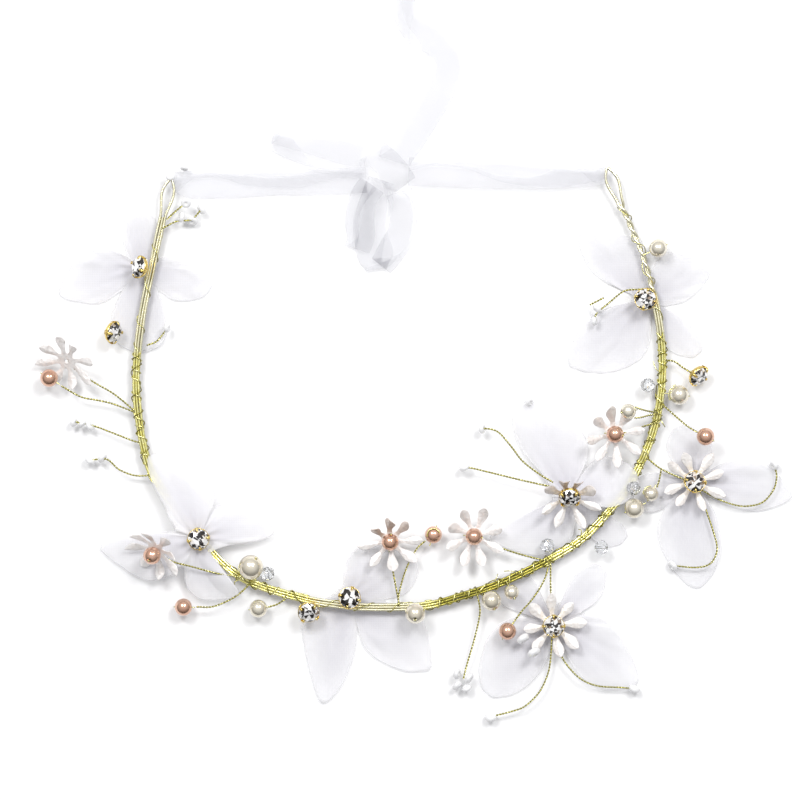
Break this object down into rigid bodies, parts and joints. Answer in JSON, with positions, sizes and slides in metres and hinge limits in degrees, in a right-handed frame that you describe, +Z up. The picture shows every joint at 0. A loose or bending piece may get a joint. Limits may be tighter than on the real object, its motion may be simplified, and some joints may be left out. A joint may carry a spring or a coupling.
{
  "type": "flower crown",
  "caption": "Open bridal hair vine of gold wire with chiffon and painted metal flowers, pearls and set stones, tied with a sheer ribbon bow.",
  "frame": {"origin": "middle of the crown's footprint, on the table it lies on", "axes": "+Z up from the table, +Y towards the ribbon bow at the back of the head, +X to the wearer's side with the larger flower group"},
  "size_m": [0.2362, 0.2362, 0.0171],
  "materials": {
    "gold_wire": "light gold plated, polished",
    "cup_gold": "gold plated claw cup",
    "cream_pearl": "pearl coat",
    "rose_pearl": "pearl coat",
    "chiffon": "fine sheer weave",
    "painted_petal": "pearl paint, embossed",
    "organza": "sheer plain weave"
  },
  "bodies": {
    "vine": {"binding_wire": "gold_wire", "chiffon_flower_1": "chiffon", "chiffon_flower_2": "chiffon", "chiffon_flower_3": "chiffon", "chiffon_flower_4": "chiffon", "chiffon_flower_7": "chiffon", "core_wire": "gold_wire", "cream_pearl_1": "cream_pearl", "cream_pearl_10": "cream_pearl", "cream_pearl_3": "cream_pearl", "cream_pearl_4": "cream_pearl", "cream_pearl_5": "cream_pearl", "cream_pearl_9": "cream_pearl", "metal_flower_6": "painted_petal", "ribbon_left": "organza", "ribbon_right": "organza", "set_stone_1": "cup_gold", "set_stone_2": "cup_gold", "set_stone_3": "cup_gold", "set_stone_4": "cup_gold", "set_stone_5": "cup_gold", "set_stone_6": "cup_gold", "set_stone_9": "cup_gold"},
    "sprig_bloom_front": {"metal_flower_3": "painted_petal", "rose_pearl_4": "rose_pearl", "sprig_bloom_front": "gold_wire"},
    "sprig_bloom_front_right": {"metal_flower_4": "painted_petal", "rose_pearl_6": "rose_pearl", "sprig_bloom_front_right": "gold_wire"},
    "sprig_bloom_left": {"metal_flower_1": "painted_petal", "sprig_bloom_left": "gold_wire"},
    "sprig_bloom_lower_left": {"metal_flower_2": "painted_petal", "rose_pearl_2": "rose_pearl", "sprig_bloom_lower_left": "gold_wire"},
    "sprig_bloom_right": {"metal_flower_5": "painted_petal", "rose_pearl_8": "rose_pearl", "sprig_bloom_right": "gold_wire"},
    "sprig_blossom_front": {"chiffon_flower_6": "chiffon", "metal_flower_8": "painted_petal", "set_stone_8": "cup_gold", "sprig_blossom_front": "gold_wire"},
    "sprig_blossom_right": {"chiffon_flower_5": "chiffon", "metal_flower_7": "painted_petal", "set_stone_7": "cup_gold", "sprig_blossom_right": "gold_wire"},
    "sprig_buds_front": {"sprig_buds_front": "gold_wire"},
    "sprig_buds_left_lower": {"sprig_buds_left_lower": "gold_wire"},
    "sprig_buds_left_upper": {"sprig_buds_left_upper": "gold_wire"},
    "sprig_rose_right": {"sprig_rose_right": "gold_wire"},
    "sprig_stone_right": {"set_stone_10": "cup_gold", "sprig_stone_right": "gold_wire"},
    "cream_pearl_2": {"cream_pearl_2": "cream_pearl"},
    "cream_pearl_6": {"cream_pearl_6": "cream_pearl"},
    "cream_pearl_7": {"cream_pearl_7": "cream_pearl"},
    "cream_pearl_8": {"cream_pearl_8": "cream_pearl"},
    "rose_pearl_1": {"rose_pearl_1": "rose_pearl"},
    "rose_pearl_3": {"rose_pearl_3": "rose_pearl"},
    "rose_pearl_5": {"rose_pearl_5": "rose_pearl"},
    "rose_pearl_7": {"rose_pearl_7": "rose_pearl"},
    "rose_pearl_9": {"rose_pearl_9": "rose_pearl"}
  },
  "joints": [
    {"name": "bend_sprig_bloom_front", "type": "hinge", "parent": "vine", "child": "sprig_bloom_front", "pos_m": [-0.00484, -0.08245, 0.0038], "axis": [0.9991, 0.0413, 0], "range_deg": [0, 45]},
    {"name": "bend_sprig_bloom_front_right", "type": "hinge", "parent": "vine", "child": "sprig_bloom_front_right", "pos_m": [0.03751, -0.07, 0.0038], "axis": [0.8919, 0.4523, 0], "range_deg": [0, 45]},
    {"name": "bend_sprig_bloom_left", "type": "hinge", "parent": "vine", "child": "sprig_bloom_left", "pos_m": [-0.08607, -0.0211, 0.0038], "axis": [-0.1097, 0.994, 0], "range_deg": [0, 45]},
    {"name": "bend_sprig_bloom_lower_left", "type": "hinge", "parent": "vine", "child": "sprig_bloom_lower_left", "pos_m": [-0.05378, -0.0731, 0.0038], "axis": [-0.882, 0.4712, 0], "range_deg": [0, 45]},
    {"name": "bend_sprig_bloom_right", "type": "hinge", "parent": "vine", "child": "sprig_bloom_right", "pos_m": [0.0754, -0.02455, 0.0038], "axis": [0.2262, 0.9741, 0], "range_deg": [0, 45]},
    {"name": "bend_sprig_blossom_front", "type": "hinge", "parent": "vine", "child": "sprig_blossom_front", "pos_m": [0.04148, -0.06793, 0.0038], "axis": [-0.8803, -0.4744, 0], "range_deg": [0, 45]},
    {"name": "bend_sprig_blossom_right", "type": "hinge", "parent": "vine", "child": "sprig_blossom_right", "pos_m": [0.07167, -0.03512, 0.0038], "axis": [-0.4003, -0.9164, 0], "range_deg": [0, 20]},
    {"name": "bend_sprig_buds_front", "type": "hinge", "parent": "vine", "child": "sprig_buds_front", "pos_m": [0.01578, -0.07867, 0.0038], "axis": [-0.96, -0.2799, 0], "range_deg": [0, 45]},
    {"name": "bend_sprig_buds_left_lower", "type": "hinge", "parent": "vine", "child": "sprig_buds_left_lower", "pos_m": [-0.08251, -0.03872, 0.0038], "axis": [-0.3393, 0.9407, 0], "range_deg": [0, 45]},
    {"name": "bend_sprig_buds_left_upper", "type": "hinge", "parent": "vine", "child": "sprig_buds_left_upper", "pos_m": [-0.08471, -0.03026, 0.0038], "axis": [-0.1822, 0.9833, 0], "range_deg": [0, 45]},
    {"name": "bend_sprig_rose_right", "type": "hinge", "parent": "vine", "child": "sprig_rose_right", "pos_m": [0.07597, -0.02192, 0.0038], "axis": [-0.1856, -0.9826, 0], "range_deg": [0, 45]},
    {"name": "bend_sprig_stone_right", "type": "hinge", "parent": "vine", "child": "sprig_stone_right", "pos_m": [0.0774, -0.00628, 0.0038], "axis": [-0.0149, -0.9999, 0], "range_deg": [0, 45]},
    {"name": "spin_cream_pearl_2", "type": "hinge", "parent": "vine", "child": "cream_pearl_2", "pos_m": [-0.04849, -0.08278, 0.0052], "axis": [-0.9878, -0.119, 0.1009], "continuous": true},
    {"name": "spin_cream_pearl_6", "type": "hinge", "parent": "sprig_blossom_right", "child": "cream_pearl_6", "pos_m": [0.06842, -0.05156, 0.0063], "axis": [-0.9063, -0.4041, 0.1241], "continuous": true},
    {"name": "spin_cream_pearl_7", "type": "hinge", "parent": "sprig_blossom_right", "child": "cream_pearl_7", "pos_m": [0.07376, -0.04712, 0.0052], "axis": [-0.4597, -0.8693, 0.1818], "continuous": true},
    {"name": "spin_cream_pearl_8", "type": "hinge", "parent": "sprig_bloom_right", "child": "cream_pearl_8", "pos_m": [0.0662, -0.02137, 0.0126], "axis": [-0.8781, -0.1478, 0.4552], "continuous": true},
    {"name": "spin_rose_pearl_1", "type": "hinge", "parent": "sprig_bloom_left", "child": "rose_pearl_1", "pos_m": [-0.11349, -0.01107, 0.0064], "axis": [-0.8477, 0.5183, 0.1131], "continuous": true},
    {"name": "spin_rose_pearl_3", "type": "hinge", "parent": "sprig_bloom_lower_left", "child": "rose_pearl_3", "pos_m": [-0.07182, -0.08235, 0.0049], "axis": [-0.9996, 0.0245, -0.0143], "continuous": true},
    {"name": "spin_rose_pearl_5", "type": "hinge", "parent": "sprig_bloom_front", "child": "rose_pearl_5", "pos_m": [0.00601, -0.05985, 0.0049], "axis": [0.3269, 0.9446, 0.0307], "continuous": true},
    {"name": "spin_rose_pearl_7", "type": "hinge", "parent": "sprig_blossom_front", "child": "rose_pearl_7", "pos_m": [0.02902, -0.08978, 0.0066], "axis": [-0.553, -0.8328, 0.0265], "continuous": true},
    {"name": "spin_rose_pearl_9", "type": "hinge", "parent": "sprig_rose_right", "child": "rose_pearl_9", "pos_m": [0.0903, -0.0292, 0.0104], "axis": [0.8429, -0.4557, 0.2859], "continuous": true}
  ]
}
